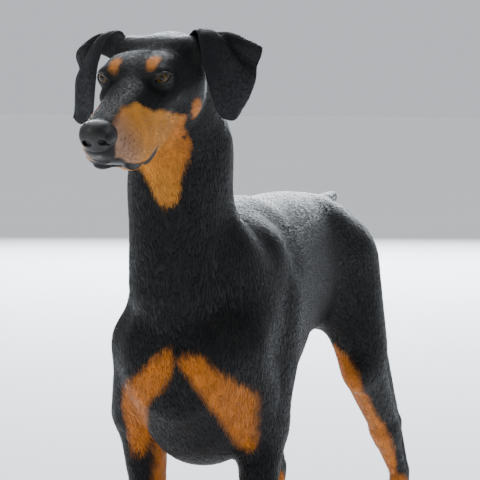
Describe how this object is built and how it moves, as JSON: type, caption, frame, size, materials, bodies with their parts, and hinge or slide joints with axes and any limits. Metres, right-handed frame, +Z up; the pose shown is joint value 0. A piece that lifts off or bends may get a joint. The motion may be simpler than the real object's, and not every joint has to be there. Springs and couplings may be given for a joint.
{
  "type": "doberman pinscher",
  "caption": "Life-size still model of a standing black and rust doberman pinscher with natural drop ears and a docked tail.",
  "frame": {"origin": "on the floor, under the middle of the dog's bounding box", "axes": "+Z up, the dog faces -Y, its left side is +X"},
  "size_m": [0.2632, 0.9671, 0.8867],
  "materials": {
    "coat": "short glossy black hair with rust markings",
    "leather": "moist pebbled nose leather",
    "eye": "wet brown eye",
    "claw": "dark horn"
  },
  "bodies": {
    "root": {"head": "coat", "neck": "coat", "trunk": "coat", "tail": "coat", "nose": "leather", "left_eye": "eye", "right_eye": "eye", "left_ear": "coat", "right_ear": "coat", "left_front_leg": "coat", "left_hind_leg": "coat", "right_front_leg": "coat", "right_hind_leg": "coat", "left_front_paw": "coat", "left_hind_paw": "coat", "right_front_paw": "coat", "right_hind_paw": "coat", "left_front_claw_1": "claw", "left_front_claw_2": "claw", "left_front_claw_3": "claw", "left_front_claw_4": "claw", "left_hind_claw_1": "claw", "left_hind_claw_2": "claw", "left_hind_claw_3": "claw", "left_hind_claw_4": "claw", "right_front_claw_1": "claw", "right_front_claw_2": "claw", "right_front_claw_3": "claw", "right_front_claw_4": "claw", "right_hind_claw_1": "claw", "right_hind_claw_2": "claw", "right_hind_claw_3": "claw", "right_hind_claw_4": "claw"}
  },
  "joints": []
}
